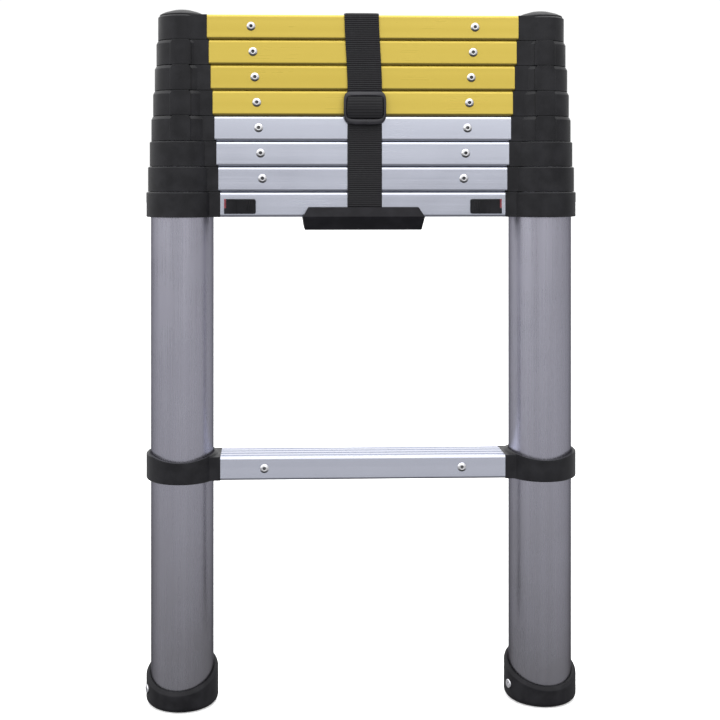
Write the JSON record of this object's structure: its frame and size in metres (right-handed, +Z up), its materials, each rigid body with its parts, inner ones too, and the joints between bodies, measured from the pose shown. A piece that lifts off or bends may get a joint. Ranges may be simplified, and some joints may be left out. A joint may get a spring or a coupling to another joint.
{
  "type": "telescoping ladder",
  "caption": "Closed telescoping ladder: nested aluminium tube stiles, stacked rungs, moulded collars, thumb release slides, rubber feet, a carry handle and a buckled strap.",
  "frame": {"origin": "on the floor, midway between the two stiles and between front and back", "axes": "+Z up along the stiles, +X to the right seen from the front, -Y the front with the thumb slides and the buckle"},
  "size_m": [0.4798, 0.0796, 0.7663],
  "materials": {
    "tube_aluminium": "mill finish, drawn lengthways",
    "rung_silver": "satin anodised, brushed lengthways",
    "rung_yellow": "satin yellow coating",
    "rivet_metal": "bright",
    "black_plastic": "moulded, fine grain",
    "slide_plastic": "moulded, fine grain",
    "handle_plastic": "moulded, fine grain",
    "buckle_plastic": "moulded, satin",
    "guide_plastic": "moulded, smooth",
    "foot_rubber": "matt, fine grain",
    "webbing": "rib-woven webbing",
    "red_mark": "satin",
    "spring_steel": "bright"
  },
  "bodies": {
    "base": {"base_tube_left": "tube_aluminium", "base_tube_right": "tube_aluminium", "carry_handle": "handle_plastic", "collar_1_left": "black_plastic", "collar_1_right": "black_plastic", "foot_left": "foot_rubber", "foot_right": "foot_rubber", "foot_rivets": "rivet_metal", "lock_marks": "red_mark", "lock_spring_left": "spring_steel", "lock_spring_right": "spring_steel", "rung_1": "rung_silver", "rung_1_clamp_left": "black_plastic", "rung_1_clamp_right": "black_plastic", "rung_1_rivets": "rivet_metal", "rung_2": "rung_silver", "strap_webbing": "webbing"},
    "release_left": {"thumb_slide_left": "slide_plastic", "lock_pin_left": "spring_steel"},
    "release_right": {"thumb_slide_right": "slide_plastic", "lock_pin_right": "spring_steel"},
    "buckle": {"strap_buckle": "buckle_plastic", "strap_bar_wrap": "webbing"},
    "section_2": {"section_2_tubes": "tube_aluminium", "section_2_collars": "black_plastic", "section_2_guide_plugs": "guide_plastic", "rung_3": "rung_silver", "rung_3_rivets": "rivet_metal"},
    "section_3": {"section_3_tubes": "tube_aluminium", "section_3_collars": "black_plastic", "section_3_guide_plugs": "guide_plastic", "rung_4": "rung_silver", "rung_4_rivets": "rivet_metal"},
    "section_4": {"section_4_tubes": "tube_aluminium", "section_4_collars": "black_plastic", "section_4_guide_plugs": "guide_plastic", "rung_5": "rung_silver", "rung_5_rivets": "rivet_metal"},
    "section_5": {"section_5_tubes": "tube_aluminium", "section_5_collars": "black_plastic", "section_5_guide_plugs": "guide_plastic", "rung_6": "rung_yellow", "rung_6_rivets": "rivet_metal"},
    "section_6": {"section_6_tubes": "tube_aluminium", "section_6_collars": "black_plastic", "section_6_guide_plugs": "guide_plastic", "rung_7": "rung_yellow", "rung_7_rivets": "rivet_metal"},
    "section_7": {"section_7_tubes": "tube_aluminium", "section_7_collars": "black_plastic", "section_7_guide_plugs": "guide_plastic", "rung_8": "rung_yellow", "rung_8_rivets": "rivet_metal"},
    "section_8": {"section_8_tubes": "tube_aluminium", "section_8_collars": "black_plastic", "section_8_guide_plugs": "guide_plastic", "rung_9": "rung_yellow", "rung_9_rivets": "rivet_metal", "top_caps": "black_plastic"}
  },
  "joints": [
    {"name": "release_left_slide", "type": "slide", "parent": "base", "child": "release_left", "axis": [1, 0, 0], "range_m": [0, 0.004], "stiffness_N_per_m": 500, "springref_m": -0.006, "deforming": ["lock_spring_left"]},
    {"name": "release_right_slide", "type": "slide", "parent": "base", "child": "release_right", "axis": [-1, 0, 0], "range_m": [0, 0.004], "stiffness_N_per_m": 500, "springref_m": -0.006, "deforming": ["lock_spring_right"]},
    {"name": "section_2_slide", "type": "slide", "parent": "base", "child": "section_2", "axis": [0, 0, 1], "range_m": [0, 0.2622], "deforming": ["strap_webbing"]},
    {"name": "section_3_slide", "type": "slide", "parent": "section_2", "child": "section_3", "axis": [0, 0, 1], "range_m": [0, 0.2622]},
    {"name": "section_4_slide", "type": "slide", "parent": "section_3", "child": "section_4", "axis": [0, 0, 1], "range_m": [0, 0.2622]},
    {"name": "section_5_slide", "type": "slide", "parent": "section_4", "child": "section_5", "axis": [0, 0, 1], "range_m": [0, 0.2622]},
    {"name": "section_6_slide", "type": "slide", "parent": "section_5", "child": "section_6", "axis": [0, 0, 1], "range_m": [0, 0.2622]},
    {"name": "section_7_slide", "type": "slide", "parent": "section_6", "child": "section_7", "axis": [0, 0, 1], "range_m": [0, 0.2622]},
    {"name": "section_8_slide", "type": "slide", "parent": "section_7", "child": "section_8", "axis": [0, 0, 1], "range_m": [0, 0.2622]},
    {"name": "buckle_slide", "type": "slide", "parent": "base", "child": "buckle", "axis": [0, 0, 1], "range_m": [-0.09, 0]}
  ],
  "couplings": [
    {"joint": "buckle_slide", "follows": "section_2_slide", "ratio": -0.34}
  ]
}
